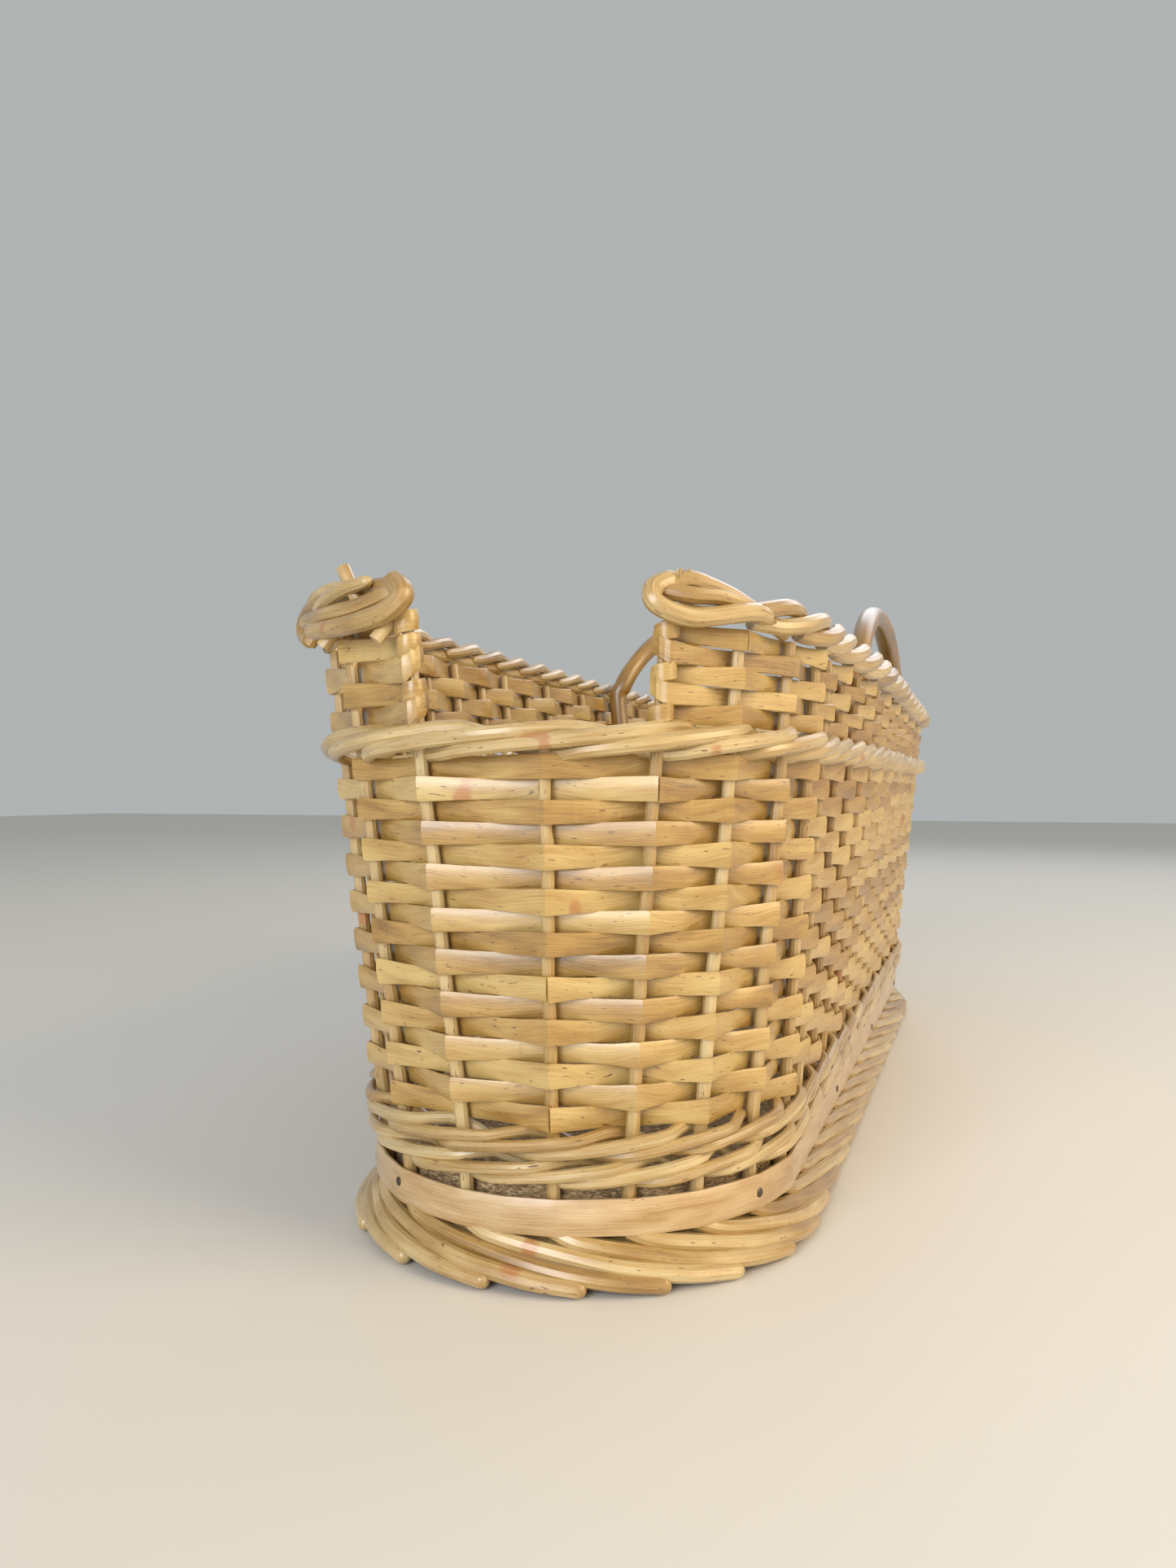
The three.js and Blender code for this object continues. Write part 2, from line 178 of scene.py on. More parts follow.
board = bundle()
rings = [
    (BOARD_RADIUS - BOARD_EDGE_ROUNDING, board_low.z),
    (BOARD_RADIUS, board_low.z + BOARD_EDGE_ROUNDING),
    (BOARD_RADIUS, BOARD_TOP - BOARD_EDGE_ROUNDING),
    (BOARD_RADIUS - BOARD_EDGE_ROUNDING, BOARD_TOP),
]
for radius, height in rings:
    board["points"] += stadium(radius, height)
ring_size = len(board["points"]) // len(rings)
board["strand"] = [(0, 0, 0)] * len(board["points"])
for level in range(len(rings) - 1):
    for i in range(ring_size):
        j = (i + 1) % ring_size
        low = level * ring_size
        board["faces"].append((low + i, low + j, low + ring_size + j, low + ring_size + i))
board["faces"].append(tuple(reversed(range(ring_size))))
board["faces"].append(tuple(range(3 * ring_size, 4 * ring_size)))
finish_piece("base_board", board, chipboard(), ["base_board"])

# ---------------------------------------------------------------------------------------------------
# The stakes: 45 round buff-willow rods, boiled and peeled, then varnished. They stand against the
# board's edge and lean out with the wall. A rod bends a little, tapers, and swells at its old buds.
# ---------------------------------------------------------------------------------------------------
STAKE_COUNT = 45
STAKE_RADIUS = 2.85
WALL_LEAN = 0.11
BAND_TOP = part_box("base_band")[1].z / MM
STAKE_RING = BOARD_RADIUS + STAKE_RADIUS + CLEARANCE
QUARTER = math.pi / 2 * STAKE_RING
STRAIGHT = 2 * HALF_STRAIGHT
PERIMETER = 4 * QUARTER + 2 * STRAIGHT
SPACING = PERIMETER / STAKE_COUNT
FIRST_STAKE = 17.6  # from the middle of the dip to the first stake, round the ring
CLOSE_GAPS = 5  # gaps after the first stake that are narrower than the rest
CLOSE_GAP = 28.5
FIRST_HORN_STAKE = 1  # the stakes at the two edges of the dip
LAST_HORN_STAKE = 44
HORN_SPREAD = 10  # how far those two lean away from the dip by the rim's height
SPREAD_STAKES = 8  # and over how many stakes that lean fades out
RIM_HEIGHT = 267
CORNER_LEAN_LOSS = 0.043  # how much less the wall leans out at the corner beside the dip
CORNER_AT = 140
CORNER_WIDTH = 95
chance = random.Random(11)


def plan_at(distance):
    """The outward direction, and the centre along Y that it is measured from, for a distance round the
    stake ring, anticlockwise from the middle of the dip."""
    run = distance % PERIMETER
    turn = run / STAKE_RING
    centre = -HALF_STRAIGHT
    if run > 3 * QUARTER + 2 * STRAIGHT:
        turn = (run - 2 * STRAIGHT) / STAKE_RING
    elif run > 3 * QUARTER + STRAIGHT:
        turn = 1.5 * math.pi
        centre = HALF_STRAIGHT - (run - 3 * QUARTER - STRAIGHT)
    elif run > QUARTER + STRAIGHT:
        turn = (run - STRAIGHT) / STAKE_RING
        centre = HALF_STRAIGHT
    elif run > QUARTER:
        turn = math.pi / 2
        centre = run - QUARTER - HALF_STRAIGHT
    return Vector((math.sin(turn), -math.cos(turn), 0)), centre


def lean_at(distance):
    """How far the wall leans out for each unit of height. It stands steeper at one corner."""
    from_corner = distance % PERIMETER - CORNER_AT
    return WALL_LEAN - CORNER_LEAN_LOSS * math.exp(-(from_corner / CORNER_WIDTH) ** 2)


def wall_point(distance, height, offset):
    """A point at an offset outside the stakes' middle line."""
    out, centre = plan_at(distance)
    radius = STAKE_RING + lean_at(distance) * max(0, height - BAND_TOP) + offset
    return Vector((out.x * radius, centre + out.y * radius, height))


def rise_at(distance):
    return (Vector((0, 0, 1)) + plan_at(distance)[0] * lean_at(distance)).normalized()


def stake_distance(stake, height=0):
    """How far round a stake stands, or a point between two stakes. They lean away from the dip."""
    wider_gap = (PERIMETER - CLOSE_GAPS * CLOSE_GAP) / (STAKE_COUNT - CLOSE_GAPS)
    turns = math.floor(stake / STAKE_COUNT)
    index = stake - turns * STAKE_COUNT
    close = min(index, CLOSE_GAPS)
    upright = turns * PERIMETER + FIRST_STAKE + close * CLOSE_GAP + (index - close) * wider_gap
    share = max(0, height - BAND_TOP) / (RIM_HEIGHT - BAND_TOP)
    after_dip = min(index, max(0, 1 - (index - FIRST_HORN_STAKE) / SPREAD_STAKES))
    before_dip = max(0, 1 - abs(LAST_HORN_STAKE - index) / (SPREAD_STAKES if index < LAST_HORN_STAKE else 1))
    return upright + HORN_SPREAD * share * (after_dip - before_dip)


def curve(points, steps):
    """A smooth line through the points, with a number of steps from each to the next."""
    line = []
    for i in range(len(points) - 1):
        a, b, c, d = (points[min(max(k, 0), len(points) - 1)] for k in (i - 1, i, i + 1, i + 2))
        for step in range(steps):
            t = step / steps
            line.append(0.5 * (2 * b + (c - a) * t + (2 * a - 5 * b + 4 * c - d) * t ** 2
                               + (3 * b - a - 3 * c + d) * t ** 3))
    return line + [points[-1]]


ROD_SECTION = circle(10)
ROUNDED_END = ((0.4, 0.92), (0.75, 0.7), (0.95, 0.35))  # share of the radius out, and share kept there


def rod(bodies, line, radius, tone, round_start=False, round_end=False, section=ROD_SECTION):
    """Adds a rod along a line. radius is a number or a function of the share of the way along."""
    size = radius if callable(radius) else (lambda share: radius)
    count = len(line)
    headings = [(line[min(i + 1, count - 1)] - line[max(i - 1, 0)]).normalized() for i in range(count)]
    side = headings[0].orthogonal().normalized()
    stops = []
    for i, place in enumerate(line):
        thick = size(i / (count - 1))
        side = (side - headings[i] * side.dot(headings[i])).normalized()
        stops.append((place, side * thick, headings[i].cross(side) * thick))
    for rounded, end, way in ((round_start, 0, -1), (round_end, -1, 1)):
        if not rounded:
            continue
        place, first, second = stops[end]
        reach = first.length
        for out_share, kept in ROUNDED_END:
            cap = (place + headings[end] * way * reach * out_share, first * kept, second * kept)
            if end:
                stops.append(cap)
            else:
                stops.insert(0, cap)
    sweep(bodies, stops, section, tone)


def willow(name, dark, middle, light, roughness, fleck):
    """Varnished willow. Its fibres run along the strand, about 0.4 mm apart, under a satin varnish."""
    material, tree = new_material(name)
    strand = node(tree, "Attribute", {"attribute_name": "strand"}).outputs["Vector"]
    parts = node(tree, "SeparateXYZ", None, Vector=strand)
    along, across, tone = (parts.outputs[axis] for axis in "XYZ")

    def stretched(along_scale, across_scale, tone_scale):
        a = node(tree, "Math", {"operation": "MULTIPLY"}, i0=along, i1=along_scale).outputs[0]
        b = node(tree, "Math", {"operation": "MULTIPLY"}, i0=across, i1=across_scale).outputs[0]
        c = node(tree, "Math", {"operation": "MULTIPLY"}, i0=tone, i1=tone_scale).outputs[0]
        return node(tree, "CombineXYZ", None, X=a, Y=b, Z=c).outputs[0]

    fibres = node(tree, "TexNoise", None, Vector=stretched(0.05, 2.4, 91), Scale=1, Detail=4, Roughness=0.65)
    blotches = node(tree, "TexNoise", None, Vector=stretched(0.035, 0.12, 57), Scale=1, Detail=2)
    rod_tone = node(tree, "TexWhiteNoise", {"noise_dimensions": "1D"}, W=tone).outputs["Value"]
    mixed = node(tree, "Math", {"operation": "MULTIPLY_ADD"}, i0=fibres.outputs["Fac"], i1=0.56, i2=-0.03)
    mixed = node(tree, "Math", {"operation": "MULTIPLY_ADD"}, i0=blotches.outputs["Fac"], i1=0.6,
                 i2=mixed.outputs[0])
    mixed = node(tree, "Math", {"operation": "MULTIPLY_ADD"}, i0=rod_tone, i1=0.34, i2=mixed.outputs[0])
    colour = ramp(tree, mixed.outputs[0], [(0.36, dark), (0.92, light), (0.64, middle)])
    # Flecks: short dark marks of bark and old buds, and now and then a rusty stain across the strand.
    flecks = node(tree, "TexNoise", None, Vector=stretched(0.22, 1.1, 133), Scale=1, Detail=1).outputs["Fac"]
    fleck_mask = ramp(tree, flecks, [(fleck, 0.0), (fleck + 0.05, 1.0)])
    colour = node(tree, "Mix", {"data_type": "RGBA"}, Factor=fleck_mask, i6=colour, i7=linear("#6E4522"))
    stain_place = stretched(0.045, 0.02, 211)
    stains = node(tree, "TexNoise", None, Vector=stain_place, Scale=1, Detail=1).outputs["Fac"]
    stain_mask = ramp(tree, stains, [(0.715, 0.0), (0.74, 0.62)])
    colour = node(tree, "Mix", {"data_type": "RGBA"}, Factor=stain_mask, i6=colour.outputs[2],
                  i7=linear("#A8622B")).outputs[2]
    gloss = ramp(tree, blotches.outputs["Fac"], [(0.3, roughness - 0.06), (0.7, roughness + 0.1)])
    bump = node(tree, "Bump", None, Strength=0.6, Distance=0.0004, Height=fibres.outputs["Fac"])
    shader = node(tree, "BsdfPrincipled", None, Base_Color=colour, Roughness=gloss, IOR=1.5,
                  Coat_Weight=0.9, Coat_Roughness=0.3, Coat_IOR=1.6, Normal=bump.outputs["Normal"])
    node(tree, "OutputMaterial", None, Surface=shader.outputs[0])
    return material


ROUND_WILLOW = willow("varnished_willow_rod", "#6B4816", "#A68244", "#C9B27F", 0.4, 0.70)
STAKE_TAPER = 0.5
STAKE_SWAY = 0.55
BUD_SWELL = 0.35
BUD_LENGTH = 0.012  # as a share of the stake

for stake in range(STAKE_COUNT):
    name = f"stake_{stake + 1:02d}"
    low, high = (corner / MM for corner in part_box(name))
    heights = [low.z + (high.z - low.z) * i / 12 for i in range(13)]
    sway = [chance.uniform(-STAKE_SWAY, STAKE_SWAY) for _ in heights]
    points = [wall_point(stake_distance(stake, height) + bend, height, 0)
              for height, bend in zip(heights, sway)]
    bud = chance.uniform(0.2, 0.9)

    def stake_size(share):
        swelling = BUD_SWELL * math.exp(-((share - bud) / BUD_LENGTH) ** 2)
        return STAKE_RADIUS - STAKE_TAPER * share + swelling

    one = bundle()
    rod(one, curve(points, 4), stake_size, chance.random())
    finish_piece(name, one, ROUND_WILLOW, [name])

# ---------------------------------------------------------------------------------------------------
# The band: a flat willow hoop 14 mm high, nailed round the stakes into the board. It is a half-round
# strip with its bark side out, kinked at the stakes, and its two ends meet at the far end.
# ---------------------------------------------------------------------------------------------------
FLAT_WILLOW = willow("varnished_split_willow", "#644410", "#A7803C", "#C9AD6C", 0.34, 0.70)
BAND_WILLOW = willow("varnished_willow_hoop", "#7C5528", "#AE8955", "#CFB589", 0.32, 0.76)

band_low, band_high = (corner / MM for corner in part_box("base_band"))
BAND_THICKNESS = 2.4
BAND_JOINT = 22  # the stake where its two ends meet, at the far end
BAND_MIDDLE = (band_low.z + band_high.z) / 2
BAND_HALF_HEIGHT = (band_high.z - band_low.z) / 2
STRIP_SECTION = [(-1, -0.5), (-0.9, -1), (0.9, -1), (1, -0.5), (1, 0.3), (0.75, 0.85), (0, 1.15),
                 (-0.75, 0.85), (-1, 0.3)]

band = bundle()
band_offset = STAKE_RADIUS + CLEARANCE + BAND_THICKNESS / 2
band_stops = []
for step in range(STAKE_COUNT):
    stake = (step + BAND_JOINT) % STAKE_COUNT
    for part in (-0.06, 0.06, 0.5):
        distance = stake_distance(stake + part)
        out, _ = plan_at(distance)
        height = BAND_MIDDLE + 0.5 * math.sin(distance / 90) + chance.uniform(-0.15, 0.15)
        sink = 0.0 if abs(part) < 0.1 else -0.5
        band_stops.append((wall_point(distance, height, band_offset + sink),
                           Vector((0, 0, BAND_HALF_HEIGHT)), out * BAND_THICKNESS / 2))
sweep(band, band_stops, STRIP_SECTION, 0.4, closed=True)
finish_piece("base_band", band, BAND_WILLOW, ["base_band"])

# ---------------------------------------------------------------------------------------------------
# The tacks: small dull steel heads that hold the band to the board. There is one at every fifth stake,
# driven a little above or below the band's middle.
# ---------------------------------------------------------------------------------------------------
steel, steel_tree = new_material("dull_steel")
steel_shader = node(steel_tree, "BsdfPrincipled", None, Base_Color=linear("#5A544C"), Metallic=0.9,
                    Roughness=0.5)
node(steel_tree, "OutputMaterial", None, Surface=steel_shader.outputs[0])
TACK_HEAD = 1.9
TACK_PROFILE = ((1.4, 0.9), (2.3, 1.0), (2.8, 0.8), (3.0, 0.35))  # height out, and share of the radius
TACK_DEPTH = 0.62
tacks = bundle()
for stake in range(3, STAKE_COUNT, 5):
    distance = stake_distance(stake)
    out, _ = plan_at(distance)
    height = BAND_MIDDLE + chance.uniform(-1.5, 1.5)
    sideways = Vector((0, 0, 1)).cross(out)
    stops = []
    for depth, size in TACK_PROFILE:
        place = wall_point(distance, height, band_offset + depth * TACK_DEPTH)
        stops.append((place, sideways * TACK_HEAD * size, Vector((0, 0, TACK_HEAD * size))))
    sweep(tacks, stops, circle(12), 0.5)
finish_piece("band_tacks", tacks, steel)

# ---------------------------------------------------------------------------------------------------
# The foot: the stakes' thick lower ends, soaked and bent under the band. Each sweeps down and outwards
# in front of the next three stakes, below the one after it, and its round tip rests on the ground.
# ---------------------------------------------------------------------------------------------------
foot_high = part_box("foot_border")[1] / MM
FOOT_TOP = foot_high.z
FOOT_OUTSIDE = foot_high.x
FOOT_ROD = 3.8
CORE_ROD = 3.0
CORE_RISE = 5.6
foot = bundle()
for stake in range(STAKE_COUNT):
    thick = FOOT_ROD * chance.uniform(0.92, 1.06)
    edge = FOOT_OUTSIDE - STAKE_RING - thick
    lift = chance.uniform(-0.4, 0.4)
    route = [
        (0.0, FOOT_TOP + 1, 0.0),
        (0.35, FOOT_TOP - 2.5, 2.5),
        (1.0, FOOT_TOP - 6.0, edge * 0.34),
        (1.9, FOOT_TOP - 10.5 + 0.3 * lift, edge * 0.68),
        (2.7, thick + 2.4 + 0.4 * lift, edge * 0.92),
        (3.35, thick + 0.1, edge),
    ]
    points = [wall_point(stake_distance(stake + step), height, offset) for step, height, offset in route]
    rod(foot, curve(points, 5), lambda share: thick * (0.86 + 0.2 * share - 0.12 * share ** 4),
        chance.random(), round_end=True)
# The core: the same ends where they come back under the board, inside the ones that show.
for turn in range(3):
    points = [wall_point(i * SPACING, CORE_ROD + turn * CORE_RISE, -2.5 + 0.6 * math.sin(i * 2.1 + turn))
              for i in range(STAKE_COUNT)]
    headings = [(points[(i + 1) % STAKE_COUNT] - points[i - 1]).normalized() for i in range(STAKE_COUNT)]
    stops = [(p, Vector((0, 0, CORE_ROD)), h.cross(Vector((0, 0, 1))) * CORE_ROD)
             for p, h in zip(points, headings)]
    sweep(foot, stops, circle(8), turn * 0.3, closed=True)
finish_piece("foot_border", foot, ROUND_WILLOW, ["foot_border"])

# ---------------------------------------------------------------------------------------------------
# The bottom wale: two rounds of three thin rods. Each rod comes out low from behind a stake, climbs in
# front of the next two over its neighbours, and goes in again behind the third.
# ---------------------------------------------------------------------------------------------------
WALE_FRONT = 0.78  # the share of a rod's cycle in which it climbs in front of the stakes


def wale(bodies, middle, climb, radius, rods, phase=0, swell=0.0):
    """Adds a round of waling, which starts and ends at the far end, with its middle at a height."""
    for strand in range(rods):

        def wale_size(share):
            return radius * (1 + 0.07 * math.sin(share * 97 + strand))

        points = []
        tone = chance.random()
        first = STAKE_COUNT // 2 + strand * 0.4
        steps = STAKE_COUNT * 3
        for i in range(steps + 1):
            at = first + i / 3
            cycle = (at + strand + phase) % rods / rods
            height = middle
            if cycle < WALE_FRONT:
                height += climb * (cycle / WALE_FRONT - 0.5)
            else:
                height += climb * (0.5 - (cycle - WALE_FRONT) / (1 - WALE_FRONT))
            depth = math.cos((cycle - 0.39) * 2 * math.pi)
            reach = STAKE_RADIUS + radius + 0.2
            offset = reach * max(-1.0, min(1.0, 1.9 * depth + 0.95)) + swell * max(0.0, depth)
            place = stake_distance(at, height)
            points.append(wall_point(place, height + chance.uniform(-0.15, 0.15), offset))
        rod(bodies, curve(points, 2), wale_size, tone)


WALE_ROD = 2.5
WALE_RODS = 3
WALE_CLIMB = 9.6
WALE_ROUNDS = 2
wale_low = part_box("bottom_wale_1")[0].z / MM - 1.8
wale_pitch = (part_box("bottom_wale_3")[1].z / MM - wale_low) / WALE_ROUNDS
bottom_wale = bundle()
for turn in range(WALE_ROUNDS):
    middle = wale_low + (turn + 0.5) * wale_pitch
    wale(bottom_wale, middle, WALE_CLIMB, WALE_ROD, WALE_RODS, phase=turn * 1.5)
wale_nodes = [f"bottom_wale_{i}" for i in (1, 2, 3)]
finish_piece("bottom_wale", bottom_wale, ROUND_WILLOW, wale_nodes)

# ---------------------------------------------------------------------------------------------------
# The lower wall: 17 rows of split willow, woven outside one stake and inside the next. Each strip is a
# rod split in three and planed flat: it creases over a stake, and runs straight and narrower between.
# ---------------------------------------------------------------------------------------------------
STRIP_THICKNESS = 1.6
STRIP_PASSING = (STAKE_RADIUS + 0.25) / math.cos(0.35) + STRIP_THICKNESS / 2
LOWER_ROWS = 17
STEP_UP_STAKE = 23
rows_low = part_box("lower_weaver_1")[0].z / MM
rows_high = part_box("lower_weaver_2")[1].z / MM
ROW_PITCH = (rows_high - rows_low + 0.5) / LOWER_ROWS
CREASE_WIDTH = 1.18  # strip width over a stake, as a share of the row pitch
CREASE_LENGTH = 1.9
CREASE_LIFT = 0.25
STRAIGHT_SHARES = (0.3, 0.5, 0.7)  # where a strip is shaped between two creases
SHORT_GAP = 12  # creases closer than this lie round a stake, with no straight stretch between


def strip(bodies, creases, tone):
    """Adds a flat strip over a list of creases, each (place, outward direction, rise, row pitch, share
    of the full width)."""
    stops = []
    count = len(creases)
    for i, (place, face, rise, pitch, wide) in enumerate(creases):
        half = pitch * CREASE_WIDTH / 2 * wide
        thick = STRIP_THICKNESS / 2
        before = (place - creases[i - 1][0]).normalized() if i else None
        after = (creases[i + 1][0] - place).normalized() if i < count - 1 else None
        heading = ((before or after) + (after or before)).normalized()
        facing = heading.cross(rise).normalized()
        if before:
            flat = before.cross(rise).normalized()
            stops.append((place - before * CREASE_LENGTH, rise * half, flat * thick))
        lift = CREASE_LIFT if facing.dot(face) > 0 else -CREASE_LIFT
        stops.append((place + facing * lift, rise * half, facing * thick))
        if after is None:
            break
        flat = after.cross(rise).normalized()
        stops.append((place + after * CREASE_LENGTH, rise * half, flat * thick))
        ahead = creases[i + 1]
        gap = (ahead[0] - place).length
        twist = chance.uniform(-0.1, 0.1)
        middle_half = (pitch + ahead[3]) / 4 * chance.uniform(0.92, 1.05)
        if gap < SHORT_GAP:
            continue
        for share in STRAIGHT_SHARES:
            weight = 1 - abs(share - 0.5) / 0.5
            width = half + (middle_half - half) * min(1.0, weight * 1.15)
            turn = twist * weight
            first = rise * math.cos(turn) + flat * math.sin(turn)
            second = flat * math.cos(turn) - rise * math.sin(turn)
            stops.append((place.lerp(ahead[0], share), first * width, second * thick))
    sweep(bodies, stops, STRIP_SECTION, tone)


def crease(stake, height, side, pitch, wide=None):
    distance = stake_distance(stake, height)
    out, _ = plan_at(distance)
    where = wall_point(distance, height, side * STRIP_PASSING)
    return where, out * side, rise_at(distance), pitch, wide or chance.uniform(0.92, 1.07)


SKEIN_STAKES = (19, 34)  # how many stakes one length of split willow reaches past
lower = [bundle(), bundle()]
step = 0
end_of_weave = LOWER_ROWS * STAKE_COUNT
while step < end_of_weave:
    reach = min(chance.randint(*SKEIN_STAKES), end_of_weave - step)
    creases = []
    for k in range(step, min(step + reach + 1, end_of_weave)):
        row = k // STAKE_COUNT
        side = 1 if k % 2 == 0 else -1
        height = rows_low + (row + 0.5) * ROW_PITCH + chance.uniform(-0.35, 0.35)
        creases.append(crease(STEP_UP_STAKE + k, height, side, ROW_PITCH))
    if len(creases) > 1:
        strip(lower[0 if step < 9 * STAKE_COUNT else 1], creases, chance.random())
    step += reach
finish_piece("lower_weaver_1", lower[0], FLAT_WILLOW, ["lower_weaver_1"])
finish_piece("lower_weaver_2", lower[1], FLAT_WILLOW, ["lower_weaver_2"])

# ---------------------------------------------------------------------------------------------------
# The middle border: thicker rods plaited like rope at the height of the dip. On the sides it stands out
# from the wall. Along the dip it is the edge of the basket, and its longest rods lie flat across.
# ---------------------------------------------------------------------------------------------------
MID_SPREAD = 0.7
mid_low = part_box("mid_border")[0].z / MM - MID_SPREAD
mid_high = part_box("mid_border")[1].z / MM + MID_SPREAD
MID_ROD = 3.15
MID_RODS = 3
MID_CLIMB = 10.5
MID_SWELL = 1.2  # how much further it stands out than a wale
mid_border = bundle()
wale(mid_border, (mid_low + mid_high) / 2, MID_CLIMB, MID_ROD, MID_RODS, swell=MID_SWELL)
finish_piece("mid_border", mid_border, ROUND_WILLOW, ["mid_border"])

# ---------------------------------------------------------------------------------------------------
# The upper wall: five rows of wider split willow round the sides and back. At each edge of the dip the
# strips turn round the last stake and go back a row higher.
# ---------------------------------------------------------------------------------------------------
UPPER_ROWS = 5
UPPER_BOTTOM = mid_high
TURN_SHARES = (0.25, 0.5, 0.75)  # where a strip is shaped as it turns back round a horn stake
RIM_SIDE_SLOPE = 8
RIM_END_SLOPE = 3.5
RIM_TWIST = 1.5


def stake_top(stake):
    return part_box(f"stake_{stake + 1:02d}")[1].z / MM


def top_at(stake):
    """The height at which the rim starts, between stakes as well as on them."""
    low_stake = min(max(math.floor(stake), FIRST_HORN_STAKE), LAST_HORN_STAKE)
    high_stake = min(low_stake + 1, LAST_HORN_STAKE)
    share = min(max(stake - low_stake, 0), 1)
    return stake_top(low_stake) * (1 - share) + stake_top(high_stake) * share


def rim_height(distance):
    """The height of the rim's top, a little higher on the left side and at the dip."""
    out, centre = plan_at(distance)
    end = max(-1, min(1, (centre + out.y * STAKE_RING) / (HALF_STRAIGHT + STAKE_RING)))
    return RIM_HEIGHT - RIM_SIDE_SLOPE * out.x - RIM_END_SLOPE * end - RIM_TWIST * out.x * end


def upper_row(stake, row):
    pitch = (top_at(stake) - UPPER_BOTTOM) / UPPER_ROWS
    return UPPER_BOTTOM + (row + 0.5) * pitch, pitch


upper = bundle()
walk = []
for row in range(UPPER_ROWS):
    forward = row % 2 == 0
    stakes = list(range(FIRST_HORN_STAKE, LAST_HORN_STAKE + 1))
    for stake in stakes if forward else reversed(stakes):
        height, pitch = upper_row(stake, row)
        side = 1 if (stake + row) % 2 == 0 else -1
        walk.append(crease(stake, height + chance.uniform(-0.3, 0.3), side, pitch))
    if row == UPPER_ROWS - 1:
        break
    end_stake = stakes[-1] if forward else stakes[0]
    way = 1 if forward else -1
    side = 1 if (end_stake + row) % 2 == 0 else -1
    low_row, pitch = upper_row(end_stake, row)
    for share in TURN_SHARES:
        distance = stake_distance(end_stake, low_row + pitch * share)
        out, _ = plan_at(distance)
        away = Vector((0, 0, 1)).cross(out) * way
        turn = share * math.pi
        facing = out * side * math.cos(turn) + away * math.sin(turn)
        place = wall_point(distance, low_row + pitch * share, 0) + facing * STRIP_PASSING
        walk.append((place, facing, rise_at(distance), pitch, 0.95))
start = 0
while start < len(walk) - 1:
    reach = chance.randint(*SKEIN_STAKES)
    strip(upper, walk[start:start + reach + 1], chance.random())
    start += reach
# An extra wrap round each horn stake, at the rows that pass inside it and where the last strip ends.
for end_stake, turned in ((FIRST_HORN_STAKE, -1), (LAST_HORN_STAKE, 1)):
    for row in range(UPPER_ROWS):
        last_end = end_stake == LAST_HORN_STAKE and row == UPPER_ROWS - 1
        if (end_stake + row) % 2 == 0 and not last_end:
            continue
        height, pitch = upper_row(end_stake, row)
        wrap = []
        for i in range(9):
            turn = math.radians(-80 + 200 * i / 8) * turned
            distance = stake_distance(end_stake, height)
            out, _ = plan_at(distance)
            across = Vector((0, 0, 1)).cross(out)
            facing = out * math.cos(turn) + across * math.sin(turn)
            place = wall_point(distance, height + turned * (i - 4) * 0.35, 0) + facing * STRIP_PASSING
            heading = across * math.cos(turn) - out * math.sin(turn)
            rise = rise_at(distance)
            wrap.append((place, rise * pitch * 0.46, facing * STRIP_THICKNESS / 2 * turned))
        sweep(upper, wrap, STRIP_SECTION, chance.random())
finish_piece("upper_weaver", upper, FLAT_WILLOW, ["upper_weaver"])

# ---------------------------------------------------------------------------------------------------
# The rim: the stakes' upper ends, bent over and rolled into a rope of three or four rods. Each comes up
# the outside as it runs on round the basket, goes over the top and down inside, and ends in a round tip.
# ---------------------------------------------------------------------------------------------------
RIM_ROD = 3.5
RIM_ROPE = 4.7  # from the rope's middle to a rod's middle
RIM_OVERHANG = 2.5
RIM_TURN_LENGTH = 3.4  # stake spacings for one turn of the rope
RIM_RISE = 7.6  # from a stake's top to the rope's middle
RIM_START = -110  # degrees round the rope, from straight out towards the top
RIM_SWEEP = 330
RIM_STEPS = 14


def rim_place(at, turn, rope):
    """A point on the rope: at counts stakes, and turn goes from outside up over the top."""
    middle = top_at(at) + RIM_RISE
    distance = stake_distance(at, middle)
    core = wall_point(distance, middle, RIM_OVERHANG)
    return core + plan_at(distance)[0] * rope * math.cos(turn) + Vector((0, 0, rope * math.sin(turn)))


rim = bundle()
for i in range(LAST_HORN_STAKE - FIRST_HORN_STAKE):
    begin = FIRST_HORN_STAKE + i + 0.1
    tone = chance.random()
    thick = RIM_ROD * chance.uniform(0.92, 1.08)
    points = []
    for k in range(RIM_STEPS + 1):
        share = k / RIM_STEPS
        turn = math.radians(RIM_START + RIM_SWEEP * share)
        at = begin + RIM_TURN_LENGTH * RIM_SWEEP / 360 * share
        if at > LAST_HORN_STAKE - 0.2:
            break
        tuck = 1 - 0.25 * (abs(share - 0.5) * 2) ** 4
        points.append(rim_place(at, turn, RIM_ROPE * tuck * chance.uniform(0.96, 1.05)))
    if len(points) > 4:
        rod(rim, curve(points, 3), lambda share: thick * (1.02 - 0.3 * share ** 3), tone, round_end=True)
finish_piece("rim_border", rim, ROUND_WILLOW, ["rim_border"])

# ---------------------------------------------------------------------------------------------------
# The left horn: where the rolled rim ends at the dip. The last stakes are bent into a flat loop: one rod
# arches over behind, two come back in front of it, the end stake sticks up, and three ends are cut off.
# ---------------------------------------------------------------------------------------------------
left_horn = bundle()


def horn_points(route):
    """Places from a list of (stake, height over the stake's top, offset outside the wall)."""
    return [wall_point(stake_distance(at, top_at(at) + up), top_at(at) + up, offset)
            for at, up, offset in route]


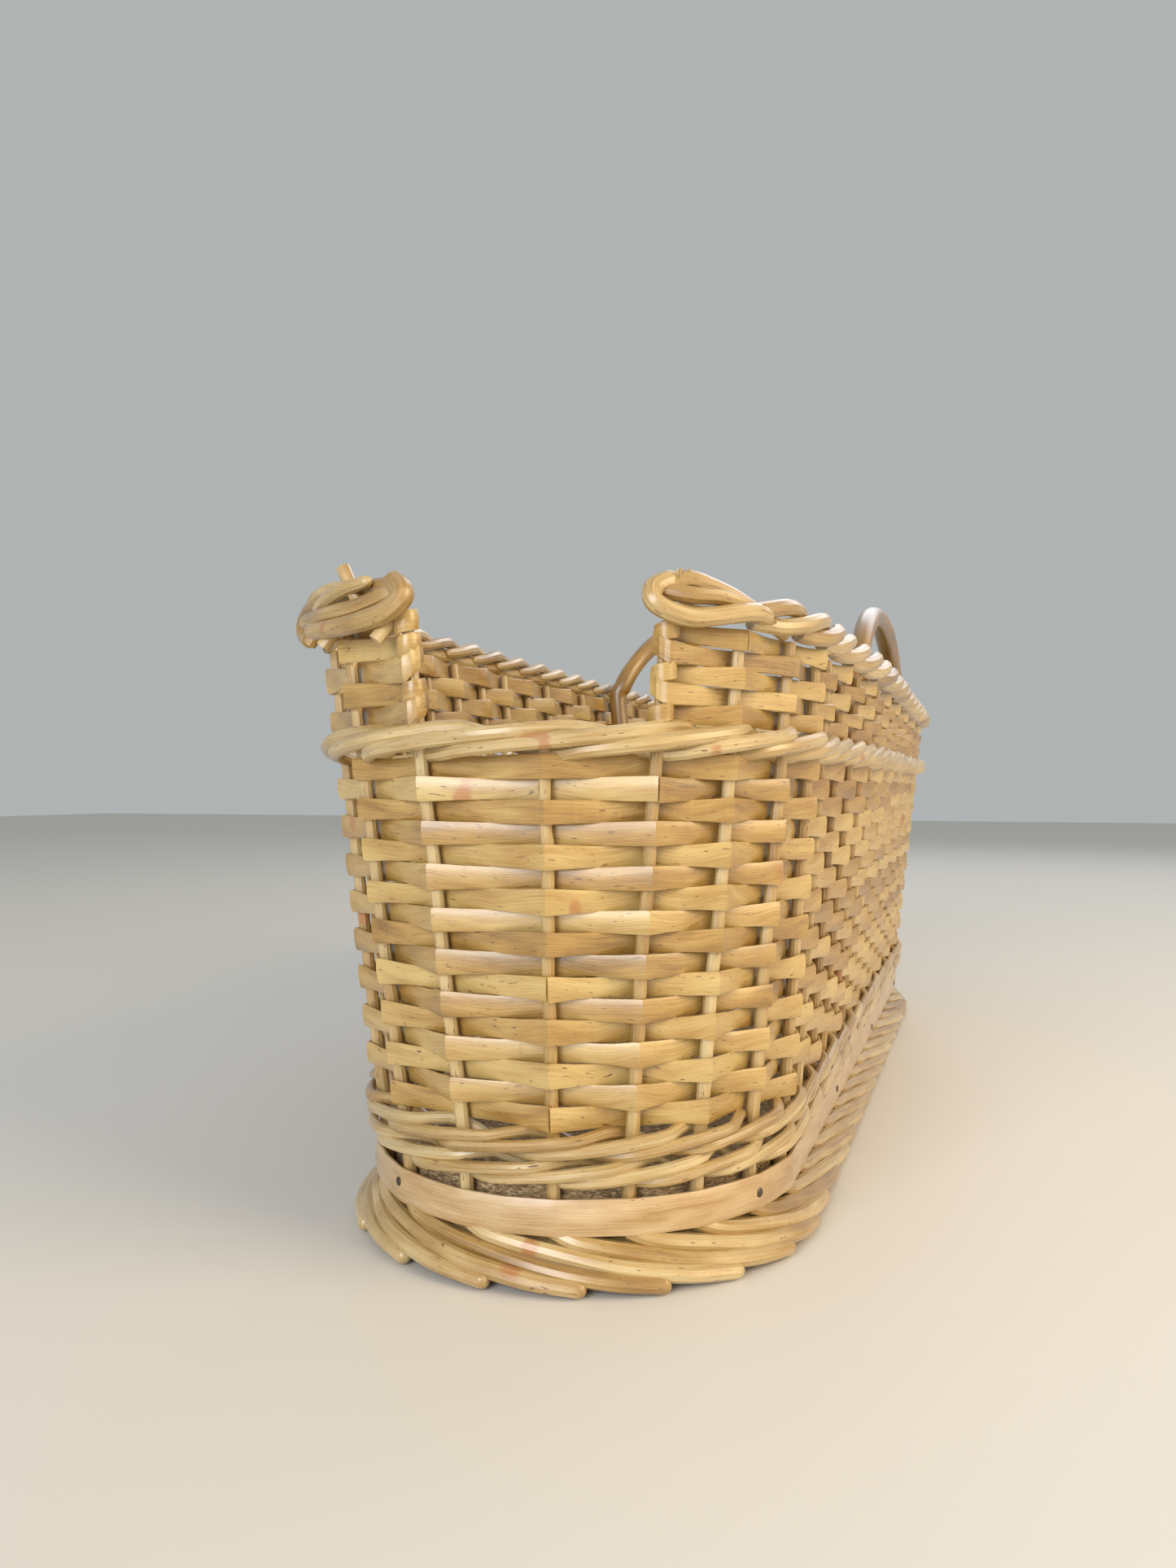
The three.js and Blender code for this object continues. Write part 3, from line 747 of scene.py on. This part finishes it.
BACK_LOOP = [(44.03, 1, 7), (44.08, 6, 4), (43.85, 10, 0), (43.35, 10, 0), (42.8, 9, 3), (42.35, 7, 7.5),
             (42.1, 2, 11.5), (42.05, -3.5, 12), (42.25, -6.5, 10)]
MIDDLE_ROD = [(44.05, 9, 3), (43.9, 5, 6.5), (43.55, 1.6, 8), (43.1, 0.4, 9.5), (42.5, 0.2, 11)]
FRONT_ROD = [(43.97, 10.5, 3), (44.1, 5, 6.5), (43.99, -1, 9), (43.62, -4.5, 10), (43.2, -5.5, 11),
             (42.8, -5, 12)]
rod(left_horn, curve(horn_points(BACK_LOOP), 5), lambda s: 3.6 - 0.3 * s, 0.31)
rod(left_horn, curve(horn_points(MIDDLE_ROD), 5), 3.5, 0.62, round_end=True)
rod(left_horn, curve(horn_points(FRONT_ROD), 5), lambda s: 4.8 - 1.4 * s, 0.87, round_end=True)
STUB = [(43.5, -5.5, 0), (43.45, 6.5, 4), (43.33, 18.5, 5)]
rod(left_horn, curve(horn_points(STUB), 4), 2.8, 0.45)
for at, up, offset in ((42.35, -8, 8.5), (42.95, -11.5, 8.5), (43.8, -11, 6.5)):
    start_end = horn_points([(at + 0.1, up + 9, offset - 5), (at, up - 0.5, offset + 2)])
    rod(left_horn, curve(start_end, 4), 3.0, at)
finish_piece("left_horn", left_horn, ROUND_WILLOW, ["left_horn"])

# ---------------------------------------------------------------------------------------------------
# The right horn: a thick rod crushed flat where it folds back round the top of the last stake, with its
# fibres torn at the bend. It runs on along the rim, over the first rods of the rope.
# ---------------------------------------------------------------------------------------------------
right_horn = bundle()
FOLD_BACK = [(2.7, 1.5, 3), (2.25, 5.5, 4), (1.8, 10.5, 4), (1.45, 14, 2), (1.19, 15.5, 0), (0.94, 12, -2)]
FOLD_FRONT = [(0.99, 15, -1), (0.84, 11, 3), (0.86, 5, 6.5), (1.14, 0.8, 8.5), (1.45, 2.2, 9.5),
              (1.75, 4.6, 10), (1.98, 5.8, 9.5), (2.15, 5.4, 8)]
FOLD_MIDDLE = [(0.96, 11, 1), (1.19, 9.3, 5.5), (1.5, 9.8, 6.5), (1.8, 8.8, 6.5), (2.05, 7, 5.5)]
rod(right_horn, curve(horn_points(FOLD_BACK), 6), lambda s: 2.9 + 1.4 * s, 0.77, round_end=True)
rod(right_horn, curve(horn_points(FOLD_FRONT), 6), lambda s: 3.9 - 0.5 * s, 0.41, round_start=True,
    round_end=True)
rod(right_horn, curve(horn_points(FOLD_MIDDLE), 6), lambda s: 3.3 - 0.4 * s, 0.58, round_start=True)
FRAY = [(1.0, 16, -1), (1.04, 18, 1), (1.12, 19, -1), (1.18, 18.4, 1.5), (1.06, 17.6, 2.5)]
for at, up, offset in FRAY:
    torn = horn_points([(at + 0.04, up - 4, offset), (at, up + 1, offset + 0.6)])
    rod(right_horn, curve(torn, 3), lambda s: 0.9 - 0.6 * s, at)
finish_piece("right_horn", right_horn, ROUND_WILLOW, ["right_horn"])

# ---------------------------------------------------------------------------------------------------
# The handles: two stout peeled rods, bent green into an arch and pushed down beside the stakes inside
# the wall. The bark side has darkened with handling.
# ---------------------------------------------------------------------------------------------------
HANDLE_WILLOW = willow("handled_willow_rod", "#553A0C", "#8C6620", "#B48C40", 0.38, 0.74)
RIM_BELOW = 15
HANDLE_INSIDE = 8.5  # from the wall's middle line to a leg
HANDLES = {
    "right_handle": dict(side=1, middle=70, length=280, near=11.5, far=16, lean=0.0),
    "left_handle": dict(side=-1, middle=187, length=180, near=13, far=15, lean=0.45),
}
for name, shape in HANDLES.items():
    low, high = (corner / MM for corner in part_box(name))
    side, near, far = shape["side"], shape["near"], shape["far"]
    along_side = QUARTER + HALF_STRAIGHT if side > 0 else 3 * QUARTER + 1.5 * STRAIGHT
    middle = along_side + side * shape["middle"]
    arch_base = rim_height(middle) - RIM_BELOW
    arch_height = high.z - (near + far) / 4 - arch_base
    outline = [(-1, low.z)]
    for i in range(21):
        turn = math.pi * (1 - i / 20)
        outline.append((math.cos(turn), arch_base + arch_height * math.sin(turn)))
    outline.append((1, low.z))
    points = []
    for along, height in outline:
        distance = middle + side * along * shape["length"] / 2
        thick = near + (far - near) * (along + 1) / 2
        lean_in = shape["lean"] * max(0, height - arch_base)
        offset = -HANDLE_INSIDE - thick / 2 - lean_in
        beside = wall_point(distance, min(height, arch_base + RIM_BELOW), offset)
        points.append(Vector((beside.x, beside.y, height)))
    one = bundle()
    rod(one, curve(points, 3), lambda share: (near + (far - near) * share) / 2 *
        (1 + 0.03 * math.sin(share * 23)), 0.2 + side * 0.1, section=circle(16))
    finish_piece(name, one, HANDLE_WILLOW, [name])

# ---------------------------------------------------------------------------------------------------
# The setting: a plain pale floor, soft daylight from the front left, and the camera at table height.
# ---------------------------------------------------------------------------------------------------
floor_material, floor_tree = new_material("pale_floor")
floor_shader = node(floor_tree, "BsdfPrincipled", None, Base_Color=linear("#D9D6D0"), Roughness=0.55)
node(floor_tree, "OutputMaterial", None, Surface=floor_shader.outputs[0])
floor_mesh = bpy.data.meshes.new("floor")
FLOOR = 6.0
floor_mesh.from_pydata([(-FLOOR, -FLOOR, 0), (FLOOR, -FLOOR, 0), (FLOOR, FLOOR, 0), (-FLOOR, FLOOR, 0)], [],
                       [(0, 1, 2, 3)])
floor_mesh.materials.append(floor_material)
floor = bpy.data.objects.new("floor", floor_mesh)
bpy.context.scene.collection.objects.link(floor)


def area_light(name, place, target, size, power, colour):
    data = bpy.data.lights.new(name, "AREA")
    data.shape = "RECTANGLE"
    data.size, data.size_y = size
    data.energy = power
    data.color = linear(colour)[:3]
    lamp = bpy.data.objects.new(name, data)
    bpy.context.scene.collection.objects.link(lamp)
    lamp.location = place
    lamp.rotation_euler = (Vector(target) - Vector(place)).to_track_quat("-Z", "Y").to_euler()


near_end = (0, -HALF_STRAIGHT * MM, 0.14)
area_light("window", (-0.25, -2.3, 0.75), near_end, (1.1, 1.2), 39, "#F5F6FA")
area_light("room", (1.8, -0.4, 1.0), (0, 0, 0.1), (1.4, 1.4), 38, "#FFE7BE")
area_light("back", (0.4, 2.2, 1.8), (0, 0, 0.1), (2.0, 1.2), 16, "#F2F6FF")
world = bpy.data.worlds.new("studio")
bpy.context.scene.world = world
world.use_nodes = True
world.node_tree.nodes["Background"].inputs["Color"].default_value = linear("#E6EAEA")
world.node_tree.nodes["Background"].inputs["Strength"].default_value = 0.55

bpy.context.scene.view_settings.view_transform = "Standard"

CAMERA_HEIGHT = 190
CAMERA_BACK = 399  # from the near tip of the band, along the basket
CAMERA_RIGHT = 177
CAMERA_TURN = math.radians(19.7)
CAMERA_TILT = math.radians(0.18)
CAMERA_LENS = 26.155
CAMERA_SENSOR = 36
camera_data = bpy.data.cameras.new("camera")
camera_data.sensor_fit = "VERTICAL"
camera_data.sensor_height = CAMERA_SENSOR
camera_data.lens = CAMERA_LENS
camera_data.clip_start = 0.01
camera = bpy.data.objects.new("camera", camera_data)
bpy.context.scene.collection.objects.link(camera)
camera.location = Vector((CAMERA_RIGHT, band_low.y - CAMERA_BACK, CAMERA_HEIGHT)) * MM
camera.rotation_euler = (math.pi / 2 + CAMERA_TILT, 0, CAMERA_TURN)
bpy.context.scene.camera = camera
